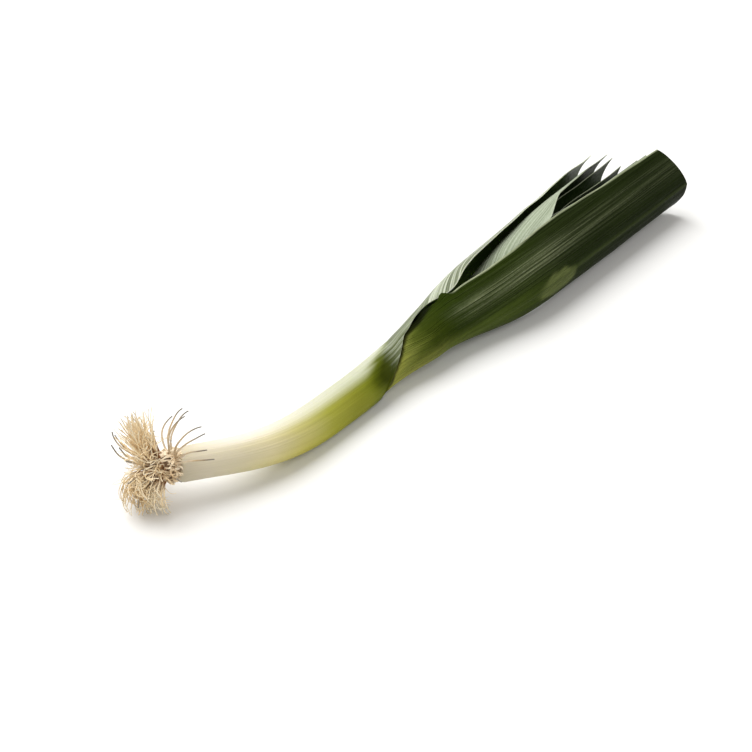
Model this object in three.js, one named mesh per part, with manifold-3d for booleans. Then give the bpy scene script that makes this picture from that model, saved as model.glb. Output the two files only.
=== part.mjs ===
// A leek as picked and trimmed, lying on its side on a flat surface: a cluster of fibrous roots on its brown
// root plate, the long white and green shank of rolled leaf sheaths, and seven strap leaves. The leaves come
// out of the shank alternately to the left and to the right, each one folded along its keel round the next.
//
// Units are millimetres, +Z is up and +X runs from the roots towards the leaves. The origin is on the surface,
// in the small flat under the shank where the leek rests.
import * as THREE from "three";
import { mergeVertices } from "three/addons/utils/BufferGeometryUtils.js";
import Module from "manifold-3d";

const wasm = await Module();
wasm.setup();

// Driving dimensions
const SHANK_RADIUS = 16.4;
const BASE_RADIUS = 13.2;
const LEAF_THICKNESS = 1.1;
const GAP = 0.45; // clearance between neighbouring walls
const LEAF_STEP = LEAF_THICKNESS + GAP;
const SEAT_GAP = 0.7; // along the axis, between a leaf's base ring and the shoulder it sits on
const REST = { from: 132, to: 156 }; // stations along the axis, from the root plate, of the flat it rests on
const SIDES = 16; // columns round a sheath, and across a blade
const ROOT_END_HEIGHT = 29; // of the axis above the surface
const REST_HEIGHT = SHANK_RADIUS * Math.cos(Math.PI / SIDES) - 0.2;
const LEAF_END_HEIGHT = 23.6;

// Headings of the axis in plan, in degrees, and the stations between which it bends from one to the next
const ROOT_HEADING = -31.5;
const SHANK_BEND = { turn: 32.5, from: 0, to: 115 };
const LEAF_BEND = { turn: 1.5, from: 260, to: 330 };

// The fan of leaves lies in a plane that leans up on the left at the collar and turns over further along
const FAN = { lean: 33.75, turn: -45, from: 182, to: 380 };
const PRESSED = { share: 0.31, from: 163, to: 272 }; // how much the lower half of the bundle is flattened

// The leaf's collar and the knife cut, as slants of the cross-sections
const CUT_SLOPE = 0.32;
const CUT_FROM = 440;

// One row per leaf, outermost first: where its margins part, over what length they draw back, the half width
// of the blade, how far the keel stands from the axis, the length of the spreading, how fast the keel still
// drifts outwards after it, how far each margin lifts off the next leaf as it opens, and how much the keel's
// side swells before the margins part.
const LEAVES = [
  { throat: 182, recede: 36, half: 31, keel: 37, spread: 150, drift: 0.03, flare: 3.9, swell: 0 },
  { throat: 254, recede: 70, half: 43, keel: 47, spread: 130, drift: 0.035, flare: 2, swell: 4.2 },
  { throat: 300, recede: 75, half: 38, keel: 28, spread: 150, drift: 0.022, flare: 2, swell: 0 },
  { throat: 334, recede: 75, half: 36, keel: 35, spread: 140, drift: 0.026, flare: 2, swell: 0 },
  { throat: 366, recede: 75, half: 32, keel: 21, spread: 126, drift: 0.014, flare: 2, swell: 0 },
  { throat: 394, recede: 60, half: 28, keel: 23, spread: 132, drift: 0.016, flare: 2, swell: 0 },
  { throat: 420, recede: 75, half: 21, keel: 9, spread: 100, drift: 0.004, flare: 2, swell: 0 },
];
const BLADE_RADIUS = 60; // of each half of a blade, across it
const FOLD = 14; // lean of each half at the keel, in degrees
const SWELL_LENGTH = 46;

// Cross-sections that every sheath and blade shares, so that walls inside one another stay parallel. slant is
// how much earlier a section comes on the collar's low side, and later on its high side. bases names the leaf
// whose base ring starts there.
const STATIONS = [
  { s: 192, slant: 21, base: 0 },
  { s: 196, slant: 19.5, base: 1 },
  { s: 200, slant: 18 },
  { s: 202, slant: 17.3 },
  { s: 205, slant: 16.2 },
  { s: 209, slant: 14.5 },
  { s: 215, slant: 12 },
  { s: 223, slant: 8 },
  { s: 234, slant: 3.5 },
  { s: 244, slant: 0 },
  { s: 254, slant: 0, base: 2 },
  { s: 262, slant: 0 },
  { s: 274, slant: 0 },
  { s: 292, slant: 0, base: 3 },
  { s: 300, slant: 0 },
  { s: 314, slant: 0 },
  { s: 326, slant: 0, base: 4 },
  { s: 334, slant: 0 },
  { s: 348, slant: 0 },
  { s: 358, slant: 0, base: 5 },
  { s: 366, slant: 0 },
  { s: 386, slant: 0, base: 6 },
  { s: 394, slant: 0 },
  { s: 404, slant: 0 },
  { s: 420, slant: 0 },
  { s: 450, slant: 0 },
  { s: 490, slant: 0 },
  { s: 535, slant: 0 },
  { s: 585, slant: 0 },
];

const radians = THREE.MathUtils.degToRad;
const smooth = (x) => THREE.MathUtils.smoothstep(x, 0, 1);
const ramp = (s, from, to) => smooth((s - from) / (to - from));

// The axis

function heading(s) {
  const shank = SHANK_BEND.turn * ramp(s, SHANK_BEND.from, SHANK_BEND.to);
  const leaves = LEAF_BEND.turn * ramp(s, LEAF_BEND.from, LEAF_BEND.to);
  return radians(ROOT_HEADING + shank + leaves);
}

function axisHeight(s) {
  const fall = (ROOT_END_HEIGHT - REST_HEIGHT) * (1 - ramp(s, 0, REST.from));
  const rise = (LEAF_END_HEIGHT - REST_HEIGHT) * ramp(s, REST.to, 262);
  return REST_HEIGHT + fall + rise;
}

// Plan position of the axis at station s: its heading added up in short steps from the middle of the flat.
const AXIS_STEP = 2;
function axisPlan(s) {
  const middle = (REST.from + REST.to) / 2;
  const count = Math.max(1, Math.ceil(Math.abs(s - middle) / AXIS_STEP));
  const step = (s - middle) / count;
  let x = 0;
  let y = 0;
  for (let i = 0; i < count; i++) {
    const h = heading(middle + (i + 0.5) * step);
    x += Math.cos(h) * step;
    y += Math.sin(h) * step;
  }
  return [x, y];
}

// The point u to the left of the axis and w above it, in the upright cross-section at station s.
function place(s, u, w) {
  const [x, y] = axisPlan(s);
  const h = heading(s);
  const pressed = w < 0 ? w * (1 - PRESSED.share * ramp(s, PRESSED.from, PRESSED.to)) : w;
  return new THREE.Vector3(x - Math.sin(h) * u, y + Math.cos(h) * u, axisHeight(s) + pressed);
}

const fanAngle = (s) => radians(FAN.lean + FAN.turn * ramp(s, FAN.from, FAN.to));

// A point of a shared station: the collar's slant moves it along by its side of the axis, and the knife cut
// by its distance to the left.
function placeAt(station, u, w) {
  const distance = Math.hypot(u, w);
  const low = fanAngle(FAN.from) + Math.PI;
  const side = distance > 0 ? Math.cos(Math.atan2(w, u) - low) : 0;
  const cut = CUT_SLOPE * ramp(station.s, CUT_FROM, STATIONS.at(-1).s) * u;
  return place(station.s - station.slant * side - cut, u, w);
}

// Closed solids from skins of points

// A geometry from points and faces: welds points that coincide and drops faces that collapse.
function solidGeometry(points, faces) {
  const geometry = new THREE.BufferGeometry();
  geometry.setAttribute("position", new THREE.Float32BufferAttribute(points.flatMap((p) => [p.x, p.y, p.z]), 3));
  geometry.setIndex(faces.flat());
  const welded = mergeVertices(geometry, 1e-3);
  const index = welded.index.array;
  const kept = [];
  for (let i = 0; i < index.length; i += 3) {
    const [a, b, c] = [index[i], index[i + 1], index[i + 2]];
    if (a !== b && b !== c && c !== a) kept.push(a, b, c);
  }
  welded.setIndex(kept);
  welded.computeVertexNormals();
  return welded;
}

const quad = (a, b, c, d) => [
  [a, b, c],
  [a, c, d],
];

// A solid of revolution-like rings, closed at each end by a fan of faces round a middle point.
function ringSolid(rings, startMiddle, endMiddle) {
  const points = [...rings.flat(), startMiddle, endMiddle];
  const at = (row, column) => row * SIDES + (column % SIDES);
  const [start, end] = [points.length - 2, points.length - 1];
  const faces = [];
  for (let row = 0; row + 1 < rings.length; row++)
    for (let k = 0; k < SIDES; k++)
      faces.push(...quad(at(row, k), at(row, k + 1), at(row + 1, k + 1), at(row + 1, k)));
  for (let k = 0; k < SIDES; k++) {
    faces.push([start, at(0, k + 1), at(0, k)]);
    faces.push([end, at(rings.length - 1, k), at(rings.length - 1, k + 1)]);
  }
  return solidGeometry(points, faces);
}

// A leaf from its outer and inner skins, each a list of rows of SIDES + 1 points. Up to row `open` the two
// margins meet and the leaf is a closed sheath. Beyond it a narrow wall closes each margin.
function leafSolid(outer, inner, open) {
  const points = [...outer.flat(), ...inner.flat()];
  const width = SIDES + 1;
  const o = (row, column) => row * width + column;
  const i = (row, column) => (outer.length + row) * width + column;
  const last = outer.length - 1;
  const faces = [];
  for (let k = 0; k < SIDES; k++) {
    for (let row = 0; row < last; row++) {
      faces.push(...quad(o(row, k), o(row, k + 1), o(row + 1, k + 1), o(row + 1, k)));
      faces.push(...quad(i(row, k), i(row + 1, k), i(row + 1, k + 1), i(row, k + 1)));
    }
    faces.push(...quad(o(0, k), i(0, k), i(0, k + 1), o(0, k + 1)));
    faces.push(...quad(o(last, k), o(last, k + 1), i(last, k + 1), i(last, k)));
  }
  for (let row = open; row < last; row++) {
    faces.push(...quad(o(row, 0), o(row + 1, 0), i(row + 1, 0), i(row, 0)));
    faces.push(...quad(o(row, SIDES), i(row, SIDES), i(row + 1, SIDES), o(row + 1, SIDES)));
  }
  return solidGeometry(points, faces);
}

// The leaves

// Cross-section of a leaf's middle surface: each half is an arc from the keel. Before the throat the two arcs
// are one full circle; beyond it their radius grows, their length draws back, and they lean to a fold.
function leafSection(number, station) {
  const leaf = LEAVES[number];
  const swell = leaf.swell * ramp(station.s, leaf.throat - SWELL_LENGTH, leaf.throat);
  const sheath = SHANK_RADIUS - LEAF_THICKNESS / 2 - LEAF_STEP * number;
  const beyond = Math.max(0, station.s - station.slant - leaf.throat);
  const spread = smooth(beyond / leaf.spread);
  const drawn = 1 - (1 - Math.min(1, beyond / leaf.recede)) ** 2;
  const ringKeel = sheath + 2 * swell;
  const ringRadius = sheath + swell;
  const keel = ringKeel + (leaf.keel - ringKeel) * spread + leaf.drift * Math.max(0, beyond - leaf.spread / 2);
  const widened = ringRadius + (BLADE_RADIUS - ringRadius) * spread;
  const radius = Math.max(widened, keel - swell * (1 - drawn) + leaf.flare * drawn);
  const half = Math.PI * ringRadius * (1 - drawn) + leaf.half * drawn;
  const fold = radians(FOLD) * smooth((beyond - 30) / 100);
  return { keel, radius, half, fold };
}

// The SIDES + 1 points of a leaf's skin at a station, offset outwards from the middle surface.
function leafRow(number, station, offset) {
  const { keel, radius, half, fold } = leafSection(number, station);
  const turn = fanAngle(station.s) + (number % 2) * Math.PI;
  const row = [];
  for (let k = -SIDES / 2; k <= SIDES / 2; k++) {
    const angle = fold + (Math.abs(k) / (SIDES / 2)) * (half / radius);
    let out = keel + radius * (Math.cos(angle) - Math.cos(fold)) + offset * Math.cos(angle);
    let across = Math.sign(k) * (radius * (Math.sin(angle) - Math.sin(fold)) + offset * Math.sin(angle));
    if (k === 0) [out, across] = [keel + offset / Math.cos(fold), 0];
    const u = out * Math.cos(turn) - across * Math.sin(turn);
    const w = out * Math.sin(turn) + across * Math.cos(turn);
    row.push(placeAt(station, u, w));
  }
  return row;
}

function leafGeometry(number) {
  const first = STATIONS.findIndex((station) => station.base === number);
  const stations = STATIONS.slice(first);
  const open = stations.findIndex((station) => station.s - station.slant >= LEAVES[number].throat);
  const outer = stations.map((station) => leafRow(number, station, LEAF_THICKNESS / 2));
  const inner = stations.map((station) => leafRow(number, station, -LEAF_THICKNESS / 2));
  return leafSolid(outer, inner, open);
}

// The shank

// Radius of the shank's skin up to the collar: a rounded shoulder at the root plate, then a slow swelling.
const SHOULDER = 9;
function shankRadius(s) {
  const body = BASE_RADIUS + (SHANK_RADIUS - BASE_RADIUS) * ramp(s, 0, REST.from);
  const shoulder = Math.min(1, s / SHOULDER);
  return body * (0.76 + 0.24 * Math.sqrt(1 - (1 - shoulder) ** 2));
}

function shankRing(station, radius) {
  const ring = [];
  for (let k = 0; k < SIDES; k++) {
    const angle = fanAngle(station.s) + (2 * Math.PI * k) / SIDES;
    const point = placeAt(station, radius * Math.cos(angle), radius * Math.sin(angle));
    point.z = Math.max(0, point.z); // the flat it rests on
    ring.push(point);
  }
  return ring;
}

// The rolled sheaths as one solid. Past the collar only their heart goes on inside the leaves, one step
// slimmer at each leaf's base, so that every leaf is seated on a shoulder of it.
function shankGeometry() {
  const rings = [];
  for (const s of [0, 2, 5, SHOULDER, 22, 36, 50, 64, 78, 92, 106, 119, REST.from, REST.to, 167])
    rings.push(shankRing({ s, slant: 14 * ramp(s, REST.to, 178) }, shankRadius(s)));
  let radius = SHANK_RADIUS;
  let previous = STATIONS[0];
  for (const station of STATIONS) {
    const seat = { ...station, s: station.s - SEAT_GAP };
    rings.push(shankRing(station.base === undefined ? station : seat, radius));
    if (station.base !== undefined) {
      radius = SHANK_RADIUS - LEAF_STEP * (station.base + 1);
      rings.push(shankRing(seat, radius));
    }
    previous = station;
    if (station.base === LEAVES.length - 1) break;
  }
  const tip = { ...previous, s: previous.s + 10 };
  rings.push(shankRing(tip, radius * 0.8));
  return ringSolid(rings, place(0, 0, 0), placeAt({ ...tip, s: tip.s + 2 }, 0, 0));
}

// The roots

const ROOTS = 84;
const ROOT_RADIUS = 0.85;
const ROOT_SIDES = 4;
const ROOT_STEPS = 8;
const LOCK_ANGLE = radians(62); // of the upper lock round the axis, from the left; the lower one is opposite
const PLATE = { radius: 9.4, length: 8, tip: 5.2 };

// A repeatable random number from 0 to 1.
let seed = 20;
function random() {
  seed = (seed + 0x6d2b79f5) | 0;
  let t = Math.imul(seed ^ (seed >>> 15), 1 | seed);
  t = (t + Math.imul(t ^ (t >>> 7), 61 | t)) ^ t;
  return ((t ^ (t >>> 14)) >>> 0) / 4294967296;
}
const between = (low, high) => low + (high - low) * random();

// Makes the manifold solid of a closed geometry.
function manifoldOf(geometry) {
  const bare = new THREE.BufferGeometry();
  bare.setAttribute("position", geometry.getAttribute("position"));
  bare.setIndex(geometry.index);
  const merged = mergeVertices(bare, 1e-4);
  return new wasm.Manifold(
    new wasm.Mesh({
      numProp: 3,
      vertProperties: merged.getAttribute("position").array,
      triVerts: new Uint32Array(merged.index.array),
    }),
  );
}

function geometryOf(solid) {
  const mesh = solid.getMesh();
  const geometry = new THREE.BufferGeometry();
  geometry.setAttribute("position", new THREE.BufferAttribute(mesh.vertProperties, 3));
  geometry.setIndex(new THREE.BufferAttribute(mesh.triVerts, 1));
  geometry.computeVertexNormals();
  return geometry;
}

// A thin tube of ROOT_SIDES sides along a list of points, tapering to its end, kept above the surface.
function strand(path, radius) {
  const points = [];
  const up = new THREE.Vector3(0.31, 0.22, 0.92);
  path.forEach((p, n) => {
    const ahead = path[Math.min(n + 1, path.length - 1)].clone().sub(path[Math.max(n - 1, 0)]).normalize();
    const side = new THREE.Vector3().crossVectors(ahead, up).normalize();
    const top = new THREE.Vector3().crossVectors(side, ahead);
    const size = radius * (1 - 0.45 * (n / (path.length - 1)));
    for (let k = 0; k < ROOT_SIDES; k++) {
      const angle = (2 * Math.PI * (k + 0.5)) / ROOT_SIDES;
      const corner = p.clone();
      corner.addScaledVector(side, size * Math.cos(angle)).addScaledVector(top, size * Math.sin(angle));
      corner.z = Math.max(0, corner.z);
      points.push(corner);
    }
  });
  const at = (row, k) => row * ROOT_SIDES + (k % ROOT_SIDES);
  const faces = [];
  for (let row = 0; row + 1 < path.length; row++)
    for (let k = 0; k < ROOT_SIDES; k++)
      faces.push(...quad(at(row, k), at(row + 1, k), at(row + 1, k + 1), at(row, k + 1)));
  for (let k = 1; k + 1 < ROOT_SIDES; k++) {
    faces.push([at(0, 0), at(0, k), at(0, k + 1)]);
    faces.push([at(path.length - 1, 0), at(path.length - 1, k + 1), at(path.length - 1, k)]);
  }
  return solidGeometry(points, faces);
}

// The line of one root. It leaves the plate between straight out and sideways, at a golden angle from the one
// before but gathered into an upper and a lower lock, and arches over to the side or back. Roots that reach
// the surface lie along it.
function rootPath(number) {
  const golden = number * Math.PI * (3 - Math.sqrt(5));
  const share = (number + 0.5) / ROOTS;
  const lobe = -0.36 * Math.sin(2 * (golden - LOCK_ANGLE));
  const round = golden + lobe;
  const start = PLATE.radius * (0.3 + 0.62 * Math.sqrt(share));
  const length = between(40, 62) * (1 - 0.3 * Math.abs(Math.sin(round - LOCK_ANGLE)));
  const bentBack = number % 10 === 4 ? 44 : 0;
  const lean = { first: radians(18 + 45 * share), last: radians(between(40, 100) + bentBack) };
  const wave = { size: between(0.1, 0.4), phase: between(0, 6.28), turns: between(0.6, 1.4) };
  const out = new THREE.Vector3().subVectors(place(-20, 0, 0), place(0, 0, 0)).normalize();
  const left = place(0, 1, 0).sub(place(0, 0, 0));
  const top = new THREE.Vector3(0, 0, 1);
  const here = place(-2.5 - 3.5 * (1 - share), start * Math.cos(round), start * Math.sin(round));
  const path = [here.clone()];
  const step = length / ROOT_STEPS;
  for (let n = 1; n <= ROOT_STEPS; n++) {
    const along = n / ROOT_STEPS;
    const turned = THREE.MathUtils.lerp(lean.first, lean.last, smooth(along * 1.2));
    const twist = round + wave.size * along * Math.sin(wave.phase + 6.28 * wave.turns * along);
    const ahead = out.clone().multiplyScalar(Math.cos(turned));
    ahead.addScaledVector(left, Math.sin(turned) * Math.cos(twist));
    ahead.addScaledVector(top, Math.sin(turned) * Math.sin(twist) - 0.22 * along);
    here.addScaledVector(ahead.normalize(), step);
    here.z = Math.max(here.z, ROOT_RADIUS * 0.6 + 0.5 * (number % 4));
    path.push(here.clone());
  }
  return path;
}

// The root plate, a short blunt cone on the end of the shank, with its roots fused into it.
function rootsGeometry() {
  const rings = [
    [-GAP, PLATE.radius],
    [-0.45 * PLATE.length, PLATE.radius * 0.92],
    [-PLATE.length, PLATE.tip],
  ].map(([s, radius]) => shankRing({ s, slant: 0 }, radius));
  const plate = ringSolid(rings.reverse(), place(-PLATE.length, 0, 0), place(-GAP, 0, 0));
  const parts = [manifoldOf(plate)];
  for (let number = 0; number < ROOTS; number++) {
    parts.push(manifoldOf(strand(rootPath(number), ROOT_RADIUS * between(0.8, 1.05))));
  }
  return geometryOf(wasm.Manifold.union(parts));
}

// The assembly

function material(color, roughness) {
  return new THREE.MeshStandardMaterial({ color, roughness, metalness: 0, side: THREE.DoubleSide });
}
const ROOT_MATERIAL = material(0xd8bf94, 0.8);
const SHANK_MATERIAL = material(0xe6e8c8, 0.45);
const OUTER_LEAF_MATERIAL = material(0x3f5b2c, 0.5);
const INNER_LEAF_MATERIAL = material(0x7b9160, 0.5);

function piece(name, geometry, finish) {
  const mesh = new THREE.Mesh(geometry, finish);
  mesh.name = name;
  return mesh;
}

const leek = new THREE.Group();
leek.name = "leek";
leek.add(piece("roots", rootsGeometry(), ROOT_MATERIAL));
leek.add(piece("shank", shankGeometry(), SHANK_MATERIAL));
LEAVES.forEach((_, number) => {
  const finish = number < 3 ? OUTER_LEAF_MATERIAL : INNER_LEAF_MATERIAL;
  leek.add(piece(`leaf_${number + 1}`, leafGeometry(number), finish));
});

export default leek;
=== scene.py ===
import math

import bmesh
import bpy
import numpy as np
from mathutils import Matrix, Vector


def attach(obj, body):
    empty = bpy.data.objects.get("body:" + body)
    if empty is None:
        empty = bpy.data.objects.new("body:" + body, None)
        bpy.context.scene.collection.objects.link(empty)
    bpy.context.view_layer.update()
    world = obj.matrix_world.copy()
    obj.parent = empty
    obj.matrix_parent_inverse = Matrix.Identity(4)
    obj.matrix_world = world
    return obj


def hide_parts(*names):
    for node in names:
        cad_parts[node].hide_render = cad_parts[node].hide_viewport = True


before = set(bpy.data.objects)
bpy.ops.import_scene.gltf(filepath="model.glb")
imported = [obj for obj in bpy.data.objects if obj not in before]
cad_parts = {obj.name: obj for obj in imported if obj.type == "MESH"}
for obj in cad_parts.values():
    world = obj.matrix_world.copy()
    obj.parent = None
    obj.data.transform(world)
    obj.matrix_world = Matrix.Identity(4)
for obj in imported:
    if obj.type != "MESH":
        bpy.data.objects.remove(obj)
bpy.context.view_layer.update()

# The shank and the outermost leaf
# The shank of a leek is its leaf sheaths rolled tightly round one another, white where earth covered them
# and green above it. The outermost sheath runs without a seam from the root plate to the oblique collar and
# on into the first leaf, so shank and first leaf are one skin here, with the slim heart inside.

# Lengths are in millimetres up to the point where place() turns them into metres. A station, s, is a length
# along the axis from the root plate, u is across it to the left, and w is upwards.
SHANK_RADIUS = 16.4
BASE_RADIUS = 13.2
LEAF_THICKNESS = 1.1
LEAF_GAP = 0.45
LEAF_STEP = LEAF_THICKNESS + LEAF_GAP
SHANK_START = -5.0
LEAF_BASES = [192.0, 196.0, 254.0, 292.0, 326.0, 358.0, 386.0]
COLLAR = LEAF_BASES[0]
LEAF_END = 585.0
COLUMNS = 97

# The course of the axis: its headings in plan in degrees, and its heights, lowest where the shank rests.
ROOT_HEADING = -31.5
SHANK_BEND = 32.5
LEAF_BEND = 1.5
ORIGIN_STATION = 144.0
ROOT_END_HEIGHT = 29.0
REST_HEIGHT = SHANK_RADIUS * math.cos(math.pi / 16) - 0.2
LEAF_END_HEIGHT = 23.6
PRESSED = 0.31

# The plane that the fan of leaves lies in, the oblique collar, and the knife cut across the leaves.
FAN_START = 182.0
FAN_LEAN = 33.75
FAN_TURN = 45
COLLAR_SLANT = 21
CUT_SLOPE = 0.32

# What all leaves share: the lean of each half at the keel in degrees, the radius of each half across the
# blade, and the length over which a sheath swells before its margins part.
FOLD = 14
BLADE_RADIUS = 60
SWELL_LENGTH = 46


def ramp(s, start, end):
    """Rises smoothly from 0 at start to 1 at end: 3x squared less 2x cubed, x being the share of the way."""
    x = np.clip((s - start) / (end - start), 0.0, 1.0)
    return x * x * (3 - 2 * x)


def between(s, start, end, soft):
    """1 from start to end, with smooth flanks of width soft on both sides."""
    return ramp(s, start - soft, start + soft) * (1 - ramp(s, end - soft, end + soft))


axis_s = np.arange(-120.0, 660.0, 1.0)
axis_heading = ROOT_HEADING + SHANK_BEND * ramp(axis_s, 0, 115) + LEAF_BEND * ramp(axis_s, 260, 330)
axis_heading = np.radians(axis_heading)
axis_x = np.cumsum(np.cos(axis_heading)) - 0.5 * np.cos(axis_heading)
axis_y = np.cumsum(np.sin(axis_heading)) - 0.5 * np.sin(axis_heading)
axis_x -= np.interp(ORIGIN_STATION, axis_s, axis_x)
axis_y -= np.interp(ORIGIN_STATION, axis_s, axis_y)
axis_z = REST_HEIGHT + (ROOT_END_HEIGHT - REST_HEIGHT) * (1 - ramp(axis_s, 0, 132))
axis_z = axis_z + (LEAF_END_HEIGHT - REST_HEIGHT) * ramp(axis_s, 156, 262)


def place(s, u, w):
    """Carries points of upright cross-sections to the bent axis, in metres.

    A point is the axis at station s, plus u to its left, plus w upwards. Past the rest the lower half is
    flattened by up to a third, and nothing goes below the surface."""
    x = np.interp(s, axis_s, axis_x)
    y = np.interp(s, axis_s, axis_y)
    heading = np.interp(s, axis_s, axis_heading)
    pressed = np.where(w < 0, w * (1 - PRESSED * ramp(s, 163, 272)), w)
    z = np.maximum(np.interp(s, axis_s, axis_z) + pressed, 0.0)
    return np.stack([x - np.sin(heading) * u, y + np.cos(heading) * u, z], axis=-1) * 0.001


def fan_angle(s):
    """Direction of the fan of leaves in the cross-section: up to the left at the collar, level further on."""
    return np.radians(FAN_LEAN - FAN_TURN * ramp(s, FAN_START, 380))


def collar_slant(s):
    """How much earlier a section comes on the collar's low side: it swells to 21 mm and dies away again."""
    return COLLAR_SLANT * ramp(s, 150, 192) * (1 - ramp(s, 190, 246))


def slanted(s, u, w):
    """Places points of a section that leans with the collar near it and with the knife cut at the far end.

    It comes earlier by the collar's slant times the cosine of the angle from the collar's low side, and by
    the cut's slope times u."""
    low = fan_angle(FAN_START) + math.pi
    side = np.cos(np.arctan2(w, u) - low)
    cut = CUT_SLOPE * ramp(s, 440, LEAF_END) * u
    return place(s - collar_slant(s) * side - cut, u, w)


def eased(s, stations, values, soft=5.0):
    """Straight lines between the values at the stations, with each corner rounded over twice soft."""
    shifts = np.linspace(-soft, soft, 9)
    return sum(np.interp(s + shift, stations, values) for shift in shifts) / len(shifts)


def leaf_ring(leaf, s):
    """A leaf's sheath radius, its swelling before the throat, and how far past the throat a section is, with
    the share by which its margins have drawn back there: 1 less the square of what is left of recede."""
    sheath = SHANK_RADIUS - LEAF_THICKNESS / 2 - LEAF_STEP * leaf["order"]
    swell = leaf["swell"] * ramp(s, leaf["throat"] - SWELL_LENGTH, leaf["throat"])
    beyond = np.maximum(0, s - collar_slant(s) - leaf["throat"])
    drawn = 1 - (1 - np.minimum(1, beyond / leaf["recede"])) ** 2
    return sheath, swell, beyond, drawn


def leaf_half(leaf, s, upper):
    """Arc length from the keel to a margin: half the ring up to the throat, drawing back to the blade's half.

    The upper margin of a leaf may have its own widths, given at stations, and an ear: a bell-shaped rise."""
    sheath, swell, beyond, drawn = leaf_ring(leaf, s)
    half = math.pi * (sheath + swell) * (1 - drawn) + leaf["half"] * drawn
    if upper and "upper_half" in leaf:
        own = eased(s, *leaf["upper_half"])
        half = np.where(beyond > 0, own + (half - own) * (1 - ramp(beyond, 0, 5)), half)
    if upper and "ear" in leaf:
        at_s, wide, high = leaf["ear"]
        half = half + high * np.exp(-(((s - at_s) / wide) ** 2))
    return half


def leaf_skin(leaf, rows, offset):
    """A leaf's skin as rows by columns by 3, from one margin over the keel to the other.

    Across a row the skin turns with the arc length a from the keel: its angle is the fold at the keel plus
    a over the radius plus a curl towards the margin. The sums of cosine and sine of that angle along the
    arc give its place across and outwards. In the sheath both halves make one ring. Past the throat the
    radius grows and the arcs draw back, and the keel moves out to its own distance from the axis. A leaf may
    open late, by so many millimetres, and its keel may stay closer to the axis, by values at stations. The
    skin is moved outwards by offset, with waves near its margins, a ridge along the keel, and bell-shaped
    bumps where the leaf lists them."""
    s = rows[:, None]
    sheath, swell, beyond, drawn = leaf_ring(leaf, s)
    opened = np.maximum(0, beyond - leaf.get("late", 0) * ramp(s, 203, 246) * (1 - ramp(s, 260, 360)))
    spread = ramp(opened, 0, leaf["spread"])
    ring_keel = sheath + 2 * swell
    ring_radius = sheath + swell
    keel = ring_keel + (leaf["keel"] - ring_keel) * spread
    keel = keel + leaf["drift"] * np.maximum(0, opened - leaf["spread"] / 2)
    if "closer" in leaf:
        keel = keel - eased(s, *leaf["closer"], 12)
    widened = ring_radius + (BLADE_RADIUS - ring_radius) * spread
    flared = leaf["flare"] * ramp(opened, 0, leaf["flare_over"])
    radius = np.maximum(widened, keel - swell * (1 - drawn) + flared)
    upwards = 1 if leaf["order"] % 2 == 0 else -1
    share = np.linspace(0, 1, (COLUMNS + 1) // 2)[None, :]
    halves = []
    for sign in (-1, 1):
        upper = sign == upwards
        half = leaf_half(leaf, s, upper)
        arc = share * half
        curl = np.radians(leaf["curl"] if upper else 0) * between(s, *leaf.get("curled", (0, 1)), 20)
        curl = curl * ramp(share, 0.35, 1)
        angle = np.radians(FOLD) * ramp(beyond, 30, 130) * ramp(arc, 0, 6) + arc / radius + curl
        middle = 0.5 * (angle[:, 1:] + angle[:, :-1])
        step = np.diff(arc, axis=1)
        start = np.zeros((len(rows), 1))
        across = np.hstack([start, np.cumsum(step * np.cos(middle), axis=1)])
        out = keel - np.hstack([start, np.cumsum(step * np.sin(middle), axis=1)])
        wave = leaf["wave"] * ramp(beyond, 40, 160) * ramp(share, 0.5, 1.0)
        long_wave = np.sin(s / leaf["wave_length"] + leaf["order"] * 1.9 + 2.2 * sign)
        wave = wave * (long_wave + 0.4 * np.sin(s / 7.9 + sign * 2.6))
        ridge = 0.5 * np.exp(-((arc / 1.6) ** 2)) * ramp(beyond, 20, 120)
        lip = leaf["lip"] * between(beyond, 4, 70, 14) * ramp(share, 0.8, 1.0) * upper
        thin = 1 - 0.5 * drawn * ramp(share, 0.86, 1.0)
        lift = offset * thin + wave + lip + (ridge if offset > 0 else 0.0)
        for at_s, in_from_margin, wide, deep, high in leaf.get("bumps", ()) if upper else ():
            away_along = (s - at_s) / wide
            away_across = ((half - arc) - in_from_margin) / deep
            lift = lift + high * np.exp(-(away_along ** 2) - away_across ** 2)
        halves.append((sign * (across + lift * np.sin(angle)), out + lift * np.cos(angle)))
    across = np.hstack([halves[0][0][:, ::-1], halves[1][0][:, 1:]])
    out = np.hstack([halves[0][1][:, ::-1], halves[1][1][:, 1:]])
    turn = fan_angle(s) + (leaf["order"] % 2) * math.pi
    u = out * np.cos(turn) - across * np.sin(turn)
    w = out * np.sin(turn) + across * np.cos(turn)
    return slanted(np.broadcast_to(s, u.shape), u, w)


def grid_faces(rows, columns, first, outwards):
    """Quads of a grid of points numbered row by row from first, facing outwards or the other way."""
    a = first + (np.arange(rows - 1)[:, None] * columns + np.arange(columns - 1)[None, :]).ravel()
    quads = np.stack([a, a + 1, a + columns + 1, a + columns], axis=1)
    return quads if outwards else quads[:, ::-1]


def band_faces(from_row, to_row):
    """Quads between two rows of point numbers of the same length."""
    return np.stack([from_row[:-1], from_row[1:], to_row[1:], to_row[:-1]], axis=1)


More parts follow.
